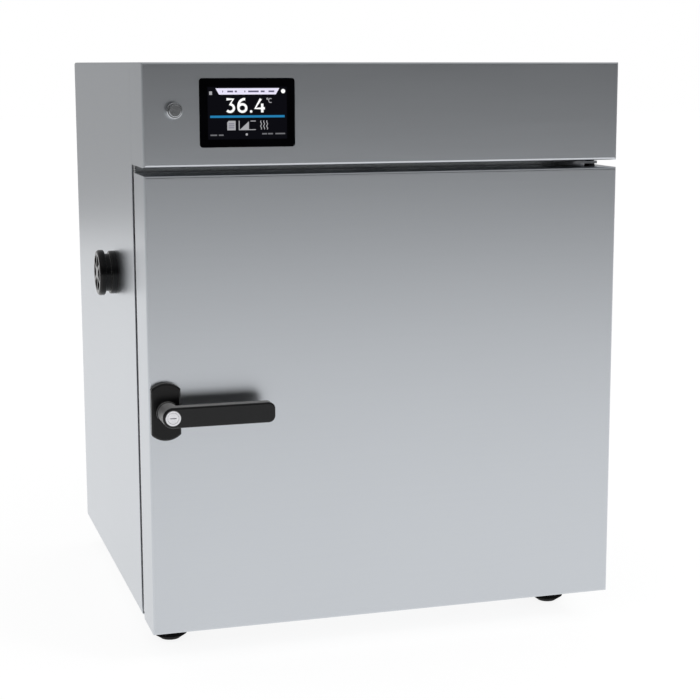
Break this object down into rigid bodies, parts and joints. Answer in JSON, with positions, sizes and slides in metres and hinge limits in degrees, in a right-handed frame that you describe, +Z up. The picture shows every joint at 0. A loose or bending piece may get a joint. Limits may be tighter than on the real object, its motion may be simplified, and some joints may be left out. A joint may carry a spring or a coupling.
{
  "type": "laboratory incubator",
  "caption": "Bench-top incubator: insulated brushed-steel cabinet with hinged door, lever latch, touch display, push button, side access port and wire shelves in a steel chamber.",
  "frame": {"origin": "on the floor, under the middle of the object's bounding box", "axes": "+Z up, the door faces -Y, +X to the right of someone who faces the door"},
  "size_m": [0.613, 0.6206, 0.714],
  "materials": {
    "satin_steel": "satin",
    "chamber_steel": "satin",
    "bright_wire": "polished",
    "zinc_steel": "satin",
    "fastener_steel": "satin",
    "latch_steel": "satin",
    "black_pin": "satin",
    "black_plastic": "satin",
    "black_lever": "satin",
    "lock_chrome": "polished",
    "button_steel": "satin",
    "display_glass": "gloss",
    "foot_rubber": "matte",
    "gasket_silicone": "matte",
    "mineral_wool": "matte",
    "heater_sheath": "matte",
    "board_green": "satin",
    "supply_casing": "satin"
  },
  "bodies": {
    "cabinet": {"outer_wrap": "satin_steel", "base_panel": "zinc_steel", "rear_panel": "satin_steel", "front_frame": "chamber_steel", "compartment_floor": "zinc_steel", "chamber_liner": "chamber_steel", "insulation_sides": "mineral_wool", "insulation_top": "mineral_wool", "insulation_bottom": "mineral_wool", "insulation_rear": "mineral_wool", "heating_element": "heater_sheath", "rack_left": "chamber_steel", "rack_right": "chamber_steel", "sensor_gland": "black_plastic", "temperature_sensor": "bright_wire", "port_flange": "black_plastic", "port_tube": "chamber_steel", "rubber_feet": "foot_rubber", "foot_screws": "fastener_steel", "foot_nuts": "fastener_steel", "control_head": "satin_steel", "display_glass": "display_glass", "display_bracket": "zinc_steel", "display_module": "board_green", "bracket_nuts": "fastener_steel", "button_collar": "button_steel", "button_nut": "fastener_steel", "button_switch": "black_plastic", "board_standoffs": "zinc_steel", "controller_board": "board_green", "power_supply": "supply_casing", "heater_relay": "supply_casing", "power_inlet": "black_plastic", "cabinet_screws": "fastener_steel", "hinge_bracket_top": "latch_steel", "hinge_bracket_bottom": "latch_steel", "hinge_pins": "black_pin", "hinge_screws": "fastener_steel", "hinge_backing_plates": "zinc_steel", "latch_keeper": "latch_steel"},
    "door": {"door_skin": "satin_steel", "door_panel": "chamber_steel", "door_insulation": "mineral_wool", "door_gasket": "gasket_silicone", "door_bushes": "black_plastic", "door_hinge_blocks": "zinc_steel", "handle_plate": "black_plastic", "handle_screws": "fastener_steel", "spindle_bushes": "black_plastic"},
    "lever": {"door_lever": "black_lever", "lock_barrel": "lock_chrome", "latch_spindle": "latch_steel", "latch_tongue": "latch_steel", "spindle_nut": "fastener_steel"},
    "lock": {"lock_plug": "lock_chrome"},
    "button": {"power_button": "button_steel"},
    "stopper": {"port_plug": "black_plastic"},
    "lower_shelf": {"shelf_lower": "bright_wire"},
    "upper_shelf": {"shelf_upper": "bright_wire"}
  },
  "joints": [
    {"name": "door_swing", "type": "hinge", "parent": "cabinet", "child": "door", "pos_m": [0.2845, -0.2327, 0.313], "axis": [0, 0, 1], "range_deg": [0, 120]},
    {"name": "lever_turn", "type": "hinge", "parent": "door", "child": "lever", "pos_m": [-0.2632, -0.2647, 0.3124], "axis": [0, 1, 0], "range_deg": [0, 90]},
    {"name": "lock_turn", "type": "hinge", "parent": "lever", "child": "lock", "pos_m": [-0.2632, -0.3097, 0.3124], "axis": [0, 1, 0], "range_deg": [0, 90]},
    {"name": "button_press", "type": "slide", "parent": "cabinet", "child": "button", "axis": [0, 1, 0], "range_m": [0, 0.002], "stiffness_N_per_m": 800, "springref_m": -0.0005},
    {"name": "stopper_pull", "type": "slide", "parent": "cabinet", "child": "stopper", "axis": [-1, 0, 0], "range_m": [0, 0.07]},
    {"name": "lower_shelf_slide", "type": "slide", "parent": "cabinet", "child": "lower_shelf", "axis": [0, -1, 0], "range_m": [0, 0.02]},
    {"name": "upper_shelf_slide", "type": "slide", "parent": "cabinet", "child": "upper_shelf", "axis": [0, -1, 0], "range_m": [0, 0.02]}
  ]
}
